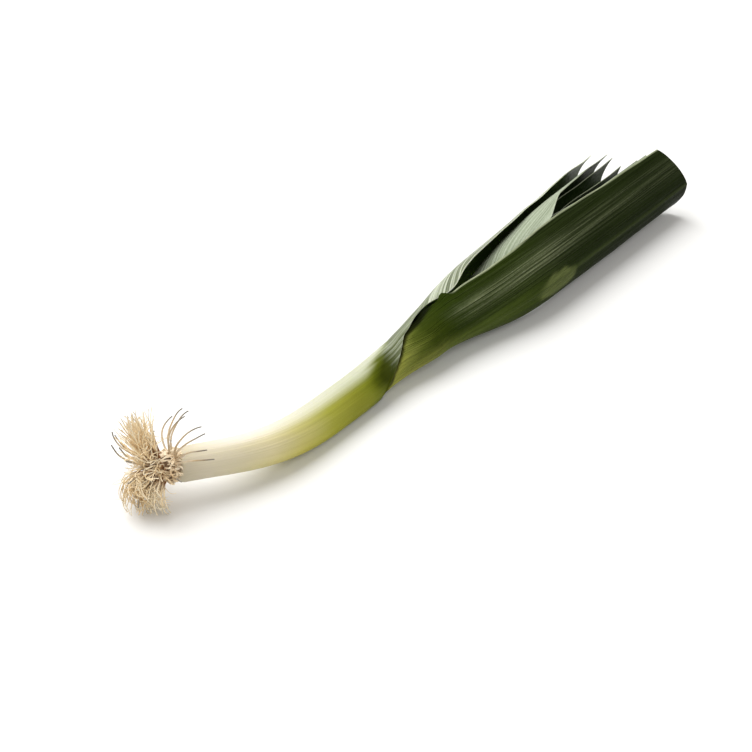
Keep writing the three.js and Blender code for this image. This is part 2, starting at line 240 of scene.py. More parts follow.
def make_mesh(name, points, faces, grain, colours, bloom_and_sheen):
    """Makes the object from flat arrays, with the grain as its UV map in centimetres and two attributes,
    then welds the points that coincide."""
    mesh = bpy.data.meshes.new(name)
    mesh.from_pydata(points.tolist(), [], [list(f) for f in faces])
    uv = mesh.uv_layers.new(name="grain")
    corner = np.empty(len(mesh.loops), dtype=np.int32)
    mesh.loops.foreach_get("vertex_index", corner)
    uv.data.foreach_set("uv", grain[corner].ravel().astype(np.float32))
    tint = mesh.attributes.new("tint", "FLOAT_COLOR", "POINT")
    tint.data.foreach_set("color", np.hstack([colours, np.ones((len(points), 1))]).ravel().astype(np.float32))
    bloom = mesh.attributes.new("bloom_and_sheen", "FLOAT", "POINT")
    bloom.data.foreach_set("value", bloom_and_sheen.astype(np.float32))
    work = bmesh.new()
    work.from_mesh(mesh)
    bmesh.ops.remove_doubles(work, verts=work.verts, dist=2e-6)
    bmesh.ops.dissolve_degenerate(work, dist=1e-7, edges=work.edges)
    work.to_mesh(mesh)
    work.free()
    mesh.polygons.foreach_set("use_smooth", [True] * len(mesh.polygons))
    mesh.set_sharp_from_angle(angle=math.radians(50))
    piece = bpy.data.objects.new(name, mesh)
    bpy.context.scene.collection.objects.link(piece)
    return piece


def blend_colours(stations, stops):
    """Colour along the leek: stops is a list of (station, red, green, blue), joined by straight lines."""
    at = np.array([stop[0] for stop in stops])
    rgb = np.array([stop[1:] for stop in stops])
    return np.stack([np.interp(stations, at, rgb[:, i]) for i in range(3)], axis=-1)


def mix(a, b, share):
    """Colour a turned into colour b by a share for each point."""
    share = np.asarray(share)[..., None]
    return a * (1 - share) + b * share


def leaf_arrays(leaf, rows):
    """Outer and inner skins of a leaf as flat points, faces, grain, stations and shares.

    Both skins have the given rows. Margin walls close the blade from the throat on, and a wall closes the
    cut end."""
    t = np.linspace(-1, 1, COLUMNS)
    s_rows, t_rows = np.meshgrid(rows, t, indexing="ij")
    outer = leaf_skin(leaf, rows, LEAF_THICKNESS / 2)
    inner = leaf_skin(leaf, rows, -LEAF_THICKNESS / 2)
    first_inner = len(rows) * COLUMNS
    o = np.arange(first_inner).reshape(len(rows), COLUMNS)
    i = first_inner + o
    beyond = rows - collar_slant(rows) - leaf["throat"]
    opened = int(np.searchsorted(beyond, 1e-6)) - 1
    faces = [
        grid_faces(len(rows), COLUMNS, 0, True),
        grid_faces(len(rows), COLUMNS, first_inner, False),
        band_faces(o[-1], i[-1]),
        band_faces(i[opened:, 0], o[opened:, 0])[:, ::-1],
        band_faces(i[opened:, -1], o[opened:, -1]),
    ]
    points = np.concatenate([outer.reshape(-1, 3), inner.reshape(-1, 3)])
    s = np.concatenate([s_rows.ravel(), s_rows.ravel()])
    share = np.concatenate([t_rows.ravel(), t_rows.ravel()])
    inside = np.concatenate([np.zeros(s_rows.size), np.ones(s_rows.size)])
    upwards = 1 if leaf["order"] % 2 == 0 else -1
    arc = share * np.where(share * upwards > 0, leaf_half(leaf, s, True), leaf_half(leaf, s, False))
    grain = np.stack([arc * 0.1 + leaf["order"] * 17.0 + inside * 9.0, s * 0.1], axis=1)
    return {"points": points, "faces": faces, "o": o, "i": i,
            "s": s, "t": share, "inside": inside, "grain": grain}


def leaf_rows(leaf, first, last, step):
    """Stations of a leaf's rows, a step apart, with one exactly where the margins part."""
    fine = np.linspace(first, last, 4000)
    throat = np.interp(leaf["throat"], (fine - collar_slant(fine)), fine)
    before = np.linspace(first, throat, max(2, int(round((throat - first) / step)) + 1))
    after = np.linspace(throat, last, int(round((last - throat) / step)) + 1)
    return np.concatenate([before, after[1:]])


def tissue(name, bloom_and_sheen_colour, vein_depth, roughness, streak, evenness):
    """Plant skin: the piece's own tint, darkened and lightened by lengthwise veins and streaks, with a pale
    waxy bloom, on the outer leaves partly a painted sheen, where the bloom_and_sheen attribute asks for it.
    All patterns follow the grain, in centimetres."""
    material = bpy.data.materials.new(name)
    material.use_nodes = True
    nodes, links = material.node_tree.nodes, material.node_tree.links
    shader = nodes["Principled BSDF"]
    grain = nodes.new("ShaderNodeUVMap")
    grain.uv_map = "grain"
    tint = nodes.new("ShaderNodeAttribute")
    tint.attribute_name = "tint"
    bloom = nodes.new("ShaderNodeAttribute")
    bloom.attribute_name = "bloom_and_sheen"

    def pattern(across, along, detail, low, high):
        """Noise stretched along the grain and stretched in contrast to run from 0 at low to 1 at high."""
        mapping = nodes.new("ShaderNodeMapping")
        mapping.inputs["Scale"].default_value = (across, along, 1)
        noise = nodes.new("ShaderNodeTexNoise")
        noise.inputs["Scale"].default_value = 1.0
        noise.inputs["Detail"].default_value = detail
        span = nodes.new("ShaderNodeMapRange")
        span.inputs["From Min"].default_value = low
        span.inputs["From Max"].default_value = high
        links.new(grain.outputs["UV"], mapping.inputs["Vector"])
        links.new(mapping.outputs["Vector"], noise.inputs["Vector"])
        links.new(noise.outputs["Fac"], span.inputs["Value"])
        return span.outputs["Result"]

    def mixed(kind, share, a, b):
        """A colour mix node of the given kind; share, a and b are sockets or plain values."""
        node = nodes.new("ShaderNodeMix")
        node.data_type = "RGBA"
        node.blend_type = kind
        for socket, value in (("Factor", share), ("A", a), ("B", b)):
            wanted = "VALUE" if socket == "Factor" else "RGBA"
            target = [x for x in node.inputs if x.name == socket and x.type == wanted][0]
            if hasattr(value, "is_linked"):
                links.new(value, target)
            else:
                target.default_value = value
        return [x for x in node.outputs if x.type == "RGBA"][0]

    def scaled(value, factor, added=0.0):
        """The value times a factor, plus what is added."""
        node = nodes.new("ShaderNodeMath")
        node.operation = "MULTIPLY_ADD"
        links.new(value, node.inputs[0])
        node.inputs[1].default_value = factor
        node.inputs[2].default_value = added
        return node.outputs[0]

    def product(a, b):
        """The product of two sockets."""
        node = nodes.new("ShaderNodeMath")
        node.operation = "MULTIPLY"
        links.new(a, node.inputs[0])
        links.new(b, node.inputs[1])
        return node.outputs[0]

    veins = pattern(9.0, 0.08, 3, 0.38, 0.62)
    streaks = pattern(4.6, 0.05, 3, 0.40, 0.62)
    blotches = pattern(0.55, 0.16, 3, 0.35, 0.65)
    specks = pattern(14.0, 3.0, 2, 0.5, 0.72)
    between_veins = scaled(veins, -streak * 0.6, streak * 0.6)
    between_blotches = scaled(blotches, -streak * 0.7, streak * 0.7)
    dark = mixed("MULTIPLY", between_veins, tint.outputs["Color"], (0.45, 0.5, 0.4, 1))
    dark = mixed("MULTIPLY", between_blotches, dark, (0.55, 0.6, 0.45, 1))
    cover = product(bloom.outputs["Fac"], scaled(streaks, 1.25 - evenness, evenness))
    cover = product(cover, scaled(veins, 1.15 - 0.9 * evenness, 0.9 * evenness))
    with_bloom_and_sheen = mixed("MIX", cover, dark, bloom_and_sheen_colour)
    finished = mixed("MIX", product(specks, scaled(cover, 0.25)), with_bloom_and_sheen, (0.82, 0.85, 0.72, 1))
    links.new(finished, shader.inputs["Base Color"])
    links.new(scaled(streaks, 0.12, roughness - 0.06), shader.inputs["Roughness"])
    shader.inputs["Specular IOR Level"].default_value = 0.3
    bump = nodes.new("ShaderNodeBump")
    bump.inputs["Strength"].default_value = vein_depth
    bump.inputs["Distance"].default_value = 0.0006
    links.new(veins, bump.inputs["Height"])
    coarse = nodes.new("ShaderNodeBump")
    coarse.inputs["Strength"].default_value = vein_depth * 0.7
    coarse.inputs["Distance"].default_value = 0.0015
    links.new(streaks, coarse.inputs["Height"])
    links.new(bump.outputs["Normal"], coarse.inputs["Normal"])
    links.new(coarse.outputs["Normal"], shader.inputs["Normal"])
    return material


def set_shader(material, values):
    """Sets constants on the sockets of a material's own shader."""
    sockets = material.node_tree.nodes["Principled BSDF"].inputs
    for socket, value in values.items():
        sockets[socket].default_value = value


def give(piece, material, slot, *nodes):
    """Gives a piece its material and body and hides the solids it stands for; slot is not used."""
    piece.data.materials.append(material)
    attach(piece, "root")
    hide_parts(*nodes)


# A leaf's measures: the station of its throat, where its margins part, over what length they recede, the half
# width of the blade, how far the keel stands from the axis, over what length the blade spreads, how fast the
# keel drifts outwards after that, how far the margins flare off the next leaf and over what length, how much
# the sheath swells, the height and length of its waves, the lift of its lip, and the curl of its upper margin
# in degrees between two stations.
leaf_1 = {
    "order": 0, "throat": 180, "recede": 36, "half": 31, "keel": 37, "spread": 150, "drift": 0.03,
    "flare": 3.4, "flare_over": 80, "swell": 0, "wave": 0.5, "wave_length": 17, "lip": 0.5,
    "curl": 18, "curled": (222, 300), "late": 26,
    "closer": ([210, 240, 270, 300, 330, 360, 400, 450, 520], [0, 1, 1.5, 4, 8, 7.5, 7, 3.5, 0]),
    "upper_half": (
        [200, 206, 212, 222, 236, 251, 264, 274, 284, 295, 310, 325, 345, 360, 400, 450, 520, LEAF_END],
        [42, 31, 24, 17.5, 16.5, 13.5, 13, 16.5, 32, 41.5, 46, 50, 51, 50, 49.5, 45, 41, 37]),
}

# Outer skin from the root plate: a rounded shoulder, then a slow swelling, with faint rings near the roots.
SHOULDER_LENGTH = 9
LEAF_ROW_STEP = 2.2
plate_rows = np.concatenate([[SHANK_START, -4.6, -3.8, -2.6, -1, 1, 4, 8], np.linspace(12, COLLAR - 2.5, 72)])
first_rows = leaf_rows(leaf_1, COLLAR, LEAF_END, LEAF_ROW_STEP)
skin = leaf_arrays(leaf_1, first_rows)
t = np.linspace(-1, 1, COLUMNS)
s_plate, t_plate = np.meshgrid(plate_rows, t, indexing="ij")
body = BASE_RADIUS + (SHANK_RADIUS - BASE_RADIUS) * ramp(s_plate, 0, 132)
shoulder = np.minimum(1, (s_plate - SHANK_START) / SHOULDER_LENGTH)
rings = 0.08 * np.sin(s_plate * 1.1 + 1.3 * np.sin(2 * math.pi * t_plate)) * (1 - ramp(s_plate, 12, 55))
fibre = 0.025 * np.sin(23 * math.pi * t_plate + 1.5 * np.sin(5 * math.pi * t_plate))
radius_plate = body * (0.76 + 0.24 * np.sqrt(np.maximum(0, 1 - (1 - shoulder) ** 2))) + rings * shoulder
radius_plate = radius_plate + fibre * (1 - ramp(s_plate, COLLAR - 30, COLLAR - 4)) * shoulder
turn_plate = fan_angle(s_plate) + math.pi * t_plate


def end_lean(s, turn):
    """How far a section near the root end is shifted along the axis: 3 mm forward on top, back below."""
    return 3.0 * np.sin(turn) * ramp(s, -22, -6) * (1 - ramp(s, -5, 34))


s_leaning = s_plate + end_lean(s_plate, turn_plate)
shank = slanted(s_leaning, radius_plate * np.cos(turn_plate), radius_plate * np.sin(turn_plate))

# Heart inside the leaf bases: one step slimmer at each leaf's base, closed at its tip.
SEAT_GAP = 0.7
heart_rows = []
heart_radius = []
for number, base in enumerate(LEAF_BASES):
    inner_radius = SHANK_RADIUS - LEAF_STEP * (number + 1)
    heart_rows += [base - SEAT_GAP, base - SEAT_GAP] if number else [base - SEAT_GAP]
    heart_radius += [inner_radius + LEAF_STEP, inner_radius] if number else [inner_radius]
heart_rows = np.array(heart_rows + [396.0, 398.0])
heart_radius = np.array(heart_radius + [4.4, 0.01])
s_heart, t_heart = np.meshgrid(heart_rows, t, indexing="ij")
turn_heart = fan_angle(s_heart) + math.pi * t_heart
heart_radius = heart_radius[:, None]
heart = slanted(s_heart, heart_radius * np.cos(turn_heart), heart_radius * np.sin(turn_heart))

# One mesh of the three skins, numbered one after another, with a point that closes the root end.
first_plate = len(skin["points"])
p = first_plate + np.arange(s_plate.size).reshape(s_plate.shape)
first_heart = first_plate + s_plate.size
h = first_heart + np.arange(s_heart.size).reshape(s_heart.shape)
root_centre = first_heart + s_heart.size
cap = np.stack([np.full(COLUMNS - 1, root_centre), p[0, 1:], p[0, :-1]], axis=1)
faces = skin["faces"] + [
    grid_faces(*s_plate.shape, first_plate, True),
    band_faces(p[-1], skin["o"][0]),
    grid_faces(*s_heart.shape, first_heart, True),
    band_faces(skin["i"][0], h[0]),
    cap,
]
faces = [f for block in faces for f in block.tolist()]
end_point = place(np.array([SHANK_START]), np.array([0.0]), np.array([0.0]))
points = np.concatenate([skin["points"], shank.reshape(-1, 3), heart.reshape(-1, 3), end_point])
s = np.concatenate([skin["s"], s_plate.ravel(), s_heart.ravel(), [SHANK_START]])
share = np.concatenate([skin["t"], t_plate.ravel(), t_heart.ravel(), [0.0]])
inside = np.concatenate([skin["inside"], np.zeros(s_plate.size), np.ones(s_heart.size), [0.0]])
ring = SHANK_RADIUS - LEAF_THICKNESS / 2
half = np.where(share > 0, leaf_half(leaf_1, s, True), leaf_half(leaf_1, s, False))
arc = share * np.where(s < COLLAR, math.pi * ring, half)
angle = fan_angle(s) + arc / ring

# The green follows a station that counts as earlier on the collar's high side, by the collar's slant, and in
# the middle of its low side, by 22 mm, and that wavers by a millimetre or so round the ring.
low = np.cos(angle - fan_angle(FAN_START) - math.pi)
effective = s - collar_slant(s) * np.maximum(0, -low) ** 2.2 - 22 * ramp(low, 0.25, 0.85) * ramp(s, 140, 185)
effective = effective + 1.2 * np.sin(9 * angle + 1) + 0.9 * np.sin(17 * angle) + 0.7 * np.sin(31 * angle + 2)
grain = np.stack([arc * 0.1, s * 0.1], axis=1)
grain[:, 0] += inside * 9.0

green = blend_colours(effective, [
    (0, 0.66, 0.59, 0.45), (14, 0.74, 0.66, 0.51), (35, 0.76, 0.68, 0.50), (63, 0.77, 0.68, 0.42),
    (88, 0.62, 0.56, 0.22), (122, 0.40, 0.395, 0.062), (152, 0.27, 0.275, 0.030),
    (164, 0.23, 0.25, 0.024), (172, 0.17, 0.19, 0.014), (179, 0.090, 0.110, 0.006),
    (188, 0.036, 0.046, 0.002), (200, 0.048, 0.062, 0.007),
    (240, 0.06, 0.08, 0.018), (LEAF_END, 0.040, 0.062, 0.020),
])
# Painted shade: the underside, turned from the light, is darker and yellower where the sheath was covered.
covered = 1 - ramp(effective, 166, 180)
below = ramp(-np.cos(angle - math.radians(60)), 0.0, 0.9) * covered * ramp(s, 10, 110)
green = mix(green, green * np.array([0.90, 0.90, 0.42]), below)
# Painted light and shade: darker away from the light, and a pale painted highlight on the covered top.
painted_top_light = ramp(np.cos(angle - math.radians(55)), 0.35, 0.95)
green = green * (0.87 + 0.13 * painted_top_light)[:, None]
pale = mix(np.array([0.77, 0.765, 0.78]), np.array([0.75, 0.76, 0.69]), ramp(s, 115, 160))
green = mix(green, pale, 0.60 * painted_top_light * covered * ramp(s, -5, 50))
green = mix(green, np.array([0.045, 0.075, 0.018]), inside * ramp(s, 180, 230))
# The blade has a thin pale rim, and a waxy bloom that thins out towards its underside; part of that
# bloom, on the side towards the light, is a painted sheen.
blade = ramp(s - collar_slant(s), 184, 200)
rim = blade * ramp(np.abs(share), 0.975, 0.998) * (0.35 + 0.65 * ramp(s, 270, 300))
green = mix(green, np.array([0.74, 0.78, 0.60]), rim * 0.85)
bloom_and_sheen = (1 - inside) * ramp(s - 25 * low, 193, 214) * (0.05 + 0.95 * ramp(np.sin(angle), -0.5, 0.6))
bloom_and_sheen = bloom_and_sheen * (0.42 + 0.48 * ramp(s, 215, 290))
sheath = make_mesh("sheath_and_first_leaf", points, faces, grain, green, bloom_and_sheen)
sheath_tissue = tissue("sheath tissue", (0.54, 0.58, 0.46, 1), 0.25, 0.42, 0.16, 0.35)
set_shader(sheath_tissue, {
    "Specular IOR Level": 0.05, "Specular Tint": (0.60, 0.70, 0.40, 1),
    "Subsurface Weight": 0.12, "Subsurface Radius": (0.6, 0.7, 0.25), "Subsurface Scale": 0.006,
})
give(sheath, sheath_tissue, "sheath", "shank", "leaf_1")

# The second leaf
# The second leaf comes out of the collar opposite the first, yellow-green where it was covered and dark
# bluish green beyond. Its margins part late, at a small raised ear, and it lies on the surface on its keel.


def open_leaf(leaf, step, colours, bloom_and_sheen_of, material, slot):
    """Builds one leaf: its skins, an end ring where its sheath begins, colours by station and by share.

    step is the distance between its rows. colours and bloom_and_sheen_of are functions of station, share
    and side, with side 0 for the outer face and 1 for the inner one."""
    node = f"leaf_{leaf['order'] + 1}"
    rows = leaf_rows(leaf, LEAF_BASES[leaf["order"]], LEAF_END, step)
    made = leaf_arrays(leaf, rows)
    blocks = made["faces"] + [band_faces(made["i"][0], made["o"][0])]
    flat = [f for block in blocks for f in block.tolist()]
    tint = colours(made["s"], made["t"], made["inside"])
    bloom = bloom_and_sheen_of(made["s"], made["t"], made["inside"])
    piece = make_mesh(f"{node}_blade", made["points"], flat, made["grain"], tint, bloom)
    give(piece, material, slot, node)


def margin(share, width=0.022):
    """1 on the leaf's very edge, falling to 0 over a width given as a share of half the leaf."""
    return ramp(np.abs(share), 1 - width * 1.6, 1 - width * 0.2)


# The ear is a station, a width and a height. Each bump is a station, a distance in from the margin, its two
# widths and its height.
leaf_2 = {
    "order": 1, "throat": 254, "recede": 70, "half": 43, "keel": 47, "spread": 130, "drift": 0.035,
    "flare": 2, "flare_over": 70, "swell": 4.2, "wave": 0.9, "wave_length": 21, "lip": 0.8, "curl": 0,
    "ear": (280, 4.6, 3.4),
    "bumps": [(280, 1.0, 4.0, 6.0, 3.6), (288, 8.0, 4.0, 3.0, -1.3), (294, 14.0, 5.0, 3.0, -0.9)],
    "upper_half": (
        [254, 260, 268, 275, 280, 286, 292, 300, 320, 360, 400, 460, LEAF_END],
        [58, 53, 47, 43.5, 43, 42.5, 44, 44.5, 43.5, 45, 48.5, 48, 44]),
}
# The arc from the keel at which the collar's margin crosses the second leaf, at stations, where a painted
# shadow lies.
CROSSED = (
    [204.5, 209, 212, 215, 218, 227, 238, 254, 266, 273],
    [-4, 12, 17, 20.5, 25.5, 32, 36.5, 41, 44.5, 47])
# The patch is an ellipse: its station, half its length, its arc from the keel, and half its width.
PATCH_STATION = 384
PATCH_LENGTH = 29
PATCH_ARC = 4
PATCH_WIDTH = 12


def second_leaf_colour(s, t, inside):
    """Yellow-green at the base, turning dark early on the upper half and slowly on the lower half.

    The upper margin is at share -1. A painted shadow darkens the leaf beside the collar's margin, where it
    comes out from under it. A paler patch lies by the keel, which is a thin paler line, and the upper margin
    has a rim."""
    along = s + 2.5 * np.sin(t * 23 + s / 17) + 1.5 * np.sin(t * 51)
    dark_side = blend_colours(along, [
        (178, 0.36, 0.36, 0.048), (208, 0.33, 0.34, 0.065), (222, 0.18, 0.20, 0.040),
        (232, 0.094, 0.115, 0.017),
        (246, 0.042, 0.058, 0.006), (275, 0.024, 0.040, 0.003), (350, 0.024, 0.038, 0.005),
        (400, 0.013, 0.021, 0.003), (LEAF_END, 0.011, 0.018, 0.003),
    ])
    low_side = blend_colours(along, [
        (178, 0.38, 0.37, 0.070), (210, 0.36, 0.36, 0.076), (236, 0.265, 0.275, 0.064),
        (262, 0.150, 0.182, 0.036),
        (300, 0.088, 0.122, 0.022), (345, 0.044, 0.066, 0.009), (400, 0.020, 0.031, 0.006),
        (450, 0.012, 0.019, 0.004), (LEAF_END, 0.010, 0.016, 0.004),
    ])
    tint = mix(dark_side, low_side, ramp(t, -0.32, 0.0))
    tint = mix(tint, np.array([0.026, 0.042, 0.011]), inside * 0.8)
    # Painted shadow: a band beside the collar's margin, where that margin overhangs the leaf, is darkened.
    arc = t * leaf_half(leaf_2, s, True)
    edge_s, edge_arc = CROSSED
    past = -arc - np.interp(s, edge_s, edge_arc)
    past = past / np.hypot(1, np.interp(s, edge_s, np.gradient(edge_arc, edge_s)))
    collar_shadow = ramp(past, -1.3, 1.1) * (1 - ramp(s, 270, 277))
    tint = mix(tint, tint * 0.16, collar_shadow * (1 - inside))
    blade_arc = t * leaf_2["half"]
    reach = np.hypot((s - PATCH_STATION) / PATCH_LENGTH, (blade_arc - PATCH_ARC) / PATCH_WIDTH)
    reach = reach + 0.05 * np.sin(s * 0.35 + t * 14)
    patch = (1 - ramp(reach, 0.70, 1.06)) * (0.70 + 0.1 * np.sin(s * 0.31 + 60 * t))
    tint = mix(tint, np.array([0.175, 0.205, 0.07]), patch * (1 - inside))
    keel_line = np.exp(-((blade_arc / 1.6) ** 2)) * ramp(s, 240, 300) * (1 - inside)
    tint = mix(tint, np.array([0.085, 0.110, 0.035]), 0.4 * keel_line)
    rim = margin(t, 0.026) * (t < 0) * ramp(s, 284, 292)
    return mix(tint, np.array([0.50, 0.54, 0.36]), 0.9 * rim)


def second_leaf_bloom_and_sheen(s, t, inside):
    """A thin grey bloom on the outer face and, in a bell-shaped band halfway to the upper margin, a painted
    streaky sheen.
    """
    band = np.exp(-(((t + 0.52) / 0.16) ** 2)) * (1 - 0.65 * ramp(s, 370, 430))
    return (1 - inside) * ramp(s, 258, 300) * (0.015 + 0.40 * band)


second_tissue = tissue("leaf tissue", (0.34, 0.38, 0.21, 1), 0.8, 0.46, 0.6, 0.28)
GREEN_SHINE = (0.45, 0.60, 0.25, 1)
set_shader(second_tissue, {"Specular IOR Level": 0.02, "Specular Tint": GREEN_SHINE})
open_leaf(leaf_2, LEAF_ROW_STEP, second_leaf_colour, second_leaf_bloom_and_sheen, second_tissue, "outer_leaf")

# The five inner leaves
# The inner leaves stand alternately left and right of the fan, each one shorter out of the sheath of the
# one before. Their outer faces carry a pale waxy bloom and their inner faces are a very dark green.


def inner_leaf_colour(order):
    """Colour rule of an inner leaf, yellower at its base the further in it stands, with a pale rim."""
    young = (order - 2) / 4

    def colour(s, t, inside):
        """Green that darkens with the station, sooner at the keel, and is very dark on the inner face."""
        tint = blend_colours(s - 18 * np.abs(t), [
            (240, 0.30 + 0.1 * young, 0.33 + 0.1 * young, 0.07),
            (300, 0.12 + 0.06 * young, 0.16 + 0.06 * young, 0.04),
            (370, 0.055, 0.085, 0.028), (LEAF_END, 0.05, 0.08, 0.028),
        ])
        tint = mix(tint, np.array([0.024, 0.046, 0.009]), inside * ramp(s, 255, 300) * 0.95)
        return mix(tint, np.array([0.52, 0.56, 0.38]), 0.7 * margin(t) * ramp(s, 300, 330))

    return colour


def inner_leaf_frost(s, t, inside):
    """A waxy bloom over the outer face."""
    return (1 - inside) * ramp(s, 270, 330) * 0.9


inner_tissue = tissue("inner leaf tissue", (0.38, 0.43, 0.32, 1), 0.4, 0.46, 0.25, 0.75)
set_shader(inner_tissue, {"Specular IOR Level": 0.03, "Specular Tint": GREEN_SHINE})
INNER_ROW_STEP = 3.0
inner_leaves = [
    {"throat": 300, "recede": 75, "half": 38, "keel": 28, "spread": 150, "drift": 0.022,
     "upper_half": ([300, 330, 375, 430, 480, LEAF_END], [40, 46, 57, 62, 52, 38]),
     "curl": 32, "curled": (320, 450)},
    {"throat": 334, "recede": 75, "half": 36, "keel": 35, "spread": 140, "drift": 0.026, "curl": 0},
    {"throat": 366, "recede": 75, "half": 32, "keel": 21, "spread": 126, "drift": 0.014, "curl": 0},
    {"throat": 394, "recede": 60, "half": 28, "keel": 23, "spread": 132, "drift": 0.016, "curl": 0},
    {"throat": 420, "recede": 75, "half": 21, "keel": 9, "spread": 100, "drift": 0.004, "curl": 0},
]
for order, leaf in enumerate(inner_leaves, start=2):
    leaf.update(order=order, flare=2, flare_over=60, swell=0, wave=0.35, wave_length=12 + 2 * order, lip=0.3)
    open_leaf(leaf, INNER_ROW_STEP, inner_leaf_colour(order), inner_leaf_frost, inner_tissue, "inner_leaf")

# The roots
# Hundreds of fine cream-coloured roots grow from a brown corky plate at the end of the shank. They part into
# an upper brush and a lower lock that curls, dried together, with greyish tips and a few stubby knots.

rng = np.random.default_rng(20)
LOCK_ANGLE = math.radians(62)


def frame_at(s):
    """Axis point, the direction back out of the root end, left and up, in millimetres, at station s."""
    here = place(np.array([s]), np.array([0.0]), np.array([0.0]))[0] * 1000
    back = place(np.array([s - 20.0]), np.array([0.0]), np.array([0.0]))[0] * 1000 - here
    left = place(np.array([s]), np.array([1.0]), np.array([0.0]))[0] * 1000 - here
    return here, back / np.linalg.norm(back), left, np.array([0.0, 0.0, 1.0])


def root_lines(round_angle, start_s, start_radius, length, first, last, curl, steps, rng):
    """Lines of many roots at once, in millimetres, as roots by steps by 3.

    A root leaves the plate at its angle round the axis, leaning away from straight out by first, and arches
    over to a lean of last. The line is the running sum of its directions. Waves of growing size bend it,
    its end sags a little, and where it comes down to the surface it lies along it."""
    count = len(round_angle)
    here, out, left, up = frame_at(0.0)
    here = here + 2.2 * up
    along = (np.arange(1, steps + 1) / steps)[None, :]
    q = rng.uniform(0, 6.28, (4, count))[:, :, None]
    rate = rng.uniform(0.5, 1.25, (2, count))[:, :, None]
    wobble = curl[:, None] * (0.3 + 0.7 * along)
    lean = first[:, None] + (last - first)[:, None] * along ** 1.2
    lean = lean + wobble * (np.sin(q[0] + 6.28 * rate[0] * along) + 0.3 * np.sin(q[1] + 15 * rate[1] * along))
    swing = np.sin(q[2] + 6.28 * rate[1] * along) + 0.3 * np.sin(q[3] + 13 * rate[0] * along)
    twist = round_angle[:, None] + wobble * 1.2 * swing
    ahead = np.cos(lean)[..., None] * out + (np.sin(lean) * np.cos(twist))[..., None] * left
    ahead = ahead + (np.sin(lean) * np.sin(twist) - 0.16 * along)[..., None] * up
    ahead = ahead / np.linalg.norm(ahead, axis=-1, keepdims=True)
    base = here - out * start_s[:, None] + left * (start_radius * np.cos(round_angle))[:, None]
    base = base + up * (start_radius * np.sin(round_angle))[:, None]
    run = np.cumsum(ahead * (length / steps)[:, None, None], axis=1)
    line = base[:, None, :] + np.concatenate([np.zeros((count, 1, 3)), run], axis=1)
    floor = (0.5 + 2.6 * rng.uniform(0, 1, count) ** 2)[:, None]
    height = line[..., 2]
    line[..., 2] = np.where(height < floor + 2, floor + 2 * np.exp((height - floor - 2) / 2), height)
    return line


def tubes(lines, radius, sides):
    """Closed tubes round lines (count by steps by 3) with a radius for each step.

    The corners of a step stand round the line on two directions square to it."""
    ahead = np.gradient(lines, axis=1)
    ahead /= np.linalg.norm(ahead, axis=-1, keepdims=True) + 1e-9
    side = np.cross(ahead, np.array([0.31, 0.22, 0.92]))
    side /= np.linalg.norm(side, axis=-1, keepdims=True) + 1e-9
    top = np.cross(side, ahead)
    angle = (np.arange(sides) + 0.5) * 2 * math.pi / sides
    points = lines[:, :, None, :] + radius[:, :, None, None] * (
        np.cos(angle)[:, None] * side[:, :, None, :] + np.sin(angle)[:, None] * top[:, :, None, :])
    points[..., 2] = np.maximum(points[..., 2], 0.0)
    count, steps = lines.shape[:2]
    index = np.arange(count * steps * sides).reshape(count, steps, sides)
    after = np.roll(index, -1, axis=2)
    walls = np.stack([index[:, :-1], index[:, 1:], after[:, 1:], after[:, :-1]], axis=-1).reshape(-1, 4)
    return points, walls, index[:, 0], index[:, -1, ::-1]


def root_mesh(name, groups):
    """One mesh from several groups of tubes: (lines, radius, sides, colours for each step)."""
    points, faces, colours, grain, total = [], [], [], [], 0
    for lines, radius, sides, tint in groups:
        made, walls, first, last = tubes(lines, radius, sides)
        faces += (walls + total).tolist() + (first + total).tolist() + (last + total).tolist()
        points.append(made.reshape(-1, 3) * 0.001)
        colours.append(np.repeat(tint, sides, axis=1).reshape(-1, 3))
        count, steps = lines.shape[:2]
        along = np.broadcast_to(np.arange(steps)[None, :, None] * 0.35, (count, steps, sides))
        beside = np.broadcast_to(np.arange(count)[:, None, None] * 0.7, (count, steps, sides))
        grain.append(np.stack([beside.ravel(), along.ravel()], axis=1))
        total += made.size // 3
    points, colours, grain = np.concatenate(points), np.concatenate(colours), np.concatenate(grain)
    return make_mesh(name, points, faces, grain, colours, np.zeros(len(points)))


def root_colours(count, steps, rng, pale, grey_tips):
    """Colours along roots: brown at the plate, each its own cream or tan, then greyish towards the tip."""
    share = np.linspace(0, 1, steps)[None, :]
    warm = rng.uniform(0, 1, (count, 1))
    own = pale * (0.82 + 0.22 * rng.uniform(0, 1, (count, 1)))[..., None]
    own = own * np.stack([np.ones_like(warm), 1 - 0.10 * warm, 1 - 0.26 * warm], axis=-1)
    tint = np.broadcast_to(own, (count, steps, 3)).copy()
    brown = 0.95 * (1 - ramp(share, 0.14, 0.46)) * np.ones((count, 1))
    tint = mix(tint, np.array([0.27, 0.115, 0.035]), brown)
    tip = ramp(share, 0.7, 1.0) * rng.uniform(0, 1, (count, 1)) ** 1.5 * grey_tips
    return mix(tint, np.array([0.30, 0.26, 0.20]), tip)


# The main roots: the upper lock stands up and out, the lower one swings out and curls back under itself.
# They stand in bundles, each bundle at its golden angle round the axis, drawn towards the two locks.
BUNDLES = 84
ROOTS_IN_BUNDLE = 4
number = np.repeat(np.arange(BUNDLES), ROOTS_IN_BUNDLE)
count = len(number)
golden = number * math.pi * (3 - math.sqrt(5))
round_angle = golden - 0.36 * np.sin(2 * (golden - LOCK_ANGLE)) + rng.normal(0, 0.17, count)
upper = 0.5 + 0.5 * np.cos(round_angle - LOCK_ANGLE)
share = rng.uniform(0, 1, count)


def by_lock(lower_lock, upper_lock):
    """A value for each root: that of the lower lock, of the upper one, or between them in proportion."""
    return lower_lock + (upper_lock - lower_lock) * upper


